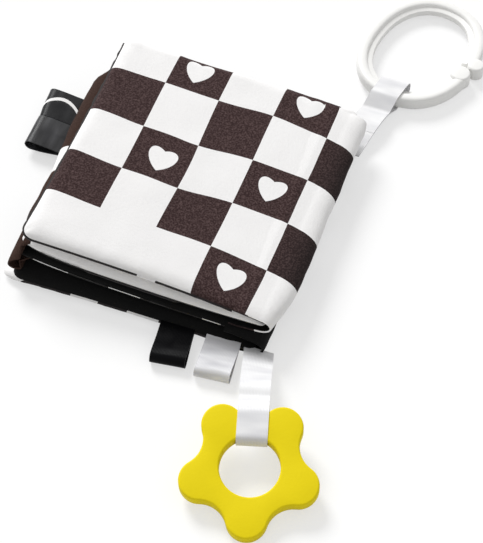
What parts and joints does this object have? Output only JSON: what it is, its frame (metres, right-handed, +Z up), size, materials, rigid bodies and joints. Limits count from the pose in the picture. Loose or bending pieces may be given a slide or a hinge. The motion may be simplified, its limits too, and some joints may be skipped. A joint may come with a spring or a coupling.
{
  "type": "folding cloth baby book",
  "caption": "Padded zigzag cloth book with high-contrast check and heart print, ribbon loops, a star teether on a strap and an oval snap ring for hanging.",
  "frame": {"origin": "centre of the bottom panel's flat underside, which lies on the table", "axes": "+Z up through the closed stack, +X to the right, where two of the three folds are, -Y to the reader and the teether, +Y to the snap ring"},
  "size_m": [0.2159, 0.3616, 0.0339],
  "materials": {
    "print_cloth": "brushed cotton, printed dark on white",
    "white_cloth": "brushed cotton, white",
    "inner_cloth": "brushed cotton, brown and white print",
    "wadding": "loose polyester fibre",
    "black_satin": "satin ribbon",
    "white_satin": "satin ribbon",
    "silicone": "matte silicone",
    "ivory_plastic": "satin moulded plastic"
  },
  "bodies": {
    "bottom_panel": {"panel_4_upper_cloth": "white_cloth", "panel_4_lower_cloth": "print_cloth", "panel_4_wadding": "wadding", "fold_34_cloth": "print_cloth", "front_loop_black": "black_satin", "front_loop_white": "white_satin", "left_loop_back": "black_satin", "left_loop_front": "black_satin"},
    "third_panel": {"panel_3_upper_cloth": "print_cloth", "panel_3_lower_cloth": "white_cloth", "panel_3_wadding": "wadding", "fold_23_cloth": "inner_cloth"},
    "second_panel": {"panel_2_upper_cloth": "white_cloth", "panel_2_lower_cloth": "print_cloth", "panel_2_wadding": "wadding", "fold_12_cloth": "print_cloth"},
    "cover_panel": {"panel_1_upper_cloth": "print_cloth", "panel_1_lower_cloth": "white_cloth", "panel_1_wadding": "wadding"},
    "teether_ribbon": {"teether_strap": "white_satin"},
    "teether": {"teether_strap_loop": "white_satin", "star_teether": "silicone"},
    "ring_ribbon": {"ring_strap": "white_satin"},
    "ring": {"ring_strap_loop": "white_satin", "snap_ring": "ivory_plastic"}
  },
  "joints": [
    {"name": "fold_34", "type": "hinge", "parent": "bottom_panel", "child": "third_panel", "pos_m": [0.07325, 0, 0.0055], "axis": [0, 1, 0], "range_deg": [0, 177], "deforming": ["fold_34_cloth"]},
    {"name": "fold_23", "type": "hinge", "parent": "third_panel", "child": "second_panel", "pos_m": [-0.07025, 0, 0.0172], "axis": [0, -1, 0], "range_deg": [0, 180], "deforming": ["fold_23_cloth", "left_loop_back", "left_loop_front"]},
    {"name": "fold_12", "type": "hinge", "parent": "second_panel", "child": "cover_panel", "pos_m": [0.07625, 0, 0.0165], "axis": [0, 1, 0], "range_deg": [0, 177], "deforming": ["fold_12_cloth"]},
    {"name": "teether_strap_fold", "type": "hinge", "parent": "bottom_panel", "child": "teether_ribbon", "pos_m": [0.0696, -0.0723, 0.00275], "axis": [-1, 0, 0], "range_deg": [-110, 60]},
    {"name": "teether_swing", "type": "hinge", "parent": "teether_ribbon", "child": "teether", "pos_m": [0.07876, -0.10344, 0.01782], "axis": [-0.9593, -0.2823, 0], "range_deg": [-90, 90]},
    {"name": "ring_strap_fold", "type": "hinge", "parent": "bottom_panel", "child": "ring_ribbon", "pos_m": [0.0696, 0.0723, 0.00275], "axis": [1, 0, 0], "range_deg": [-90, 35]},
    {"name": "ring_swing", "type": "hinge", "parent": "ring_ribbon", "child": "ring", "pos_m": [0.07546, 0.1001, 0.00551], "axis": [0.9785, -0.2062, 0], "range_deg": [-90, 90]}
  ]
}
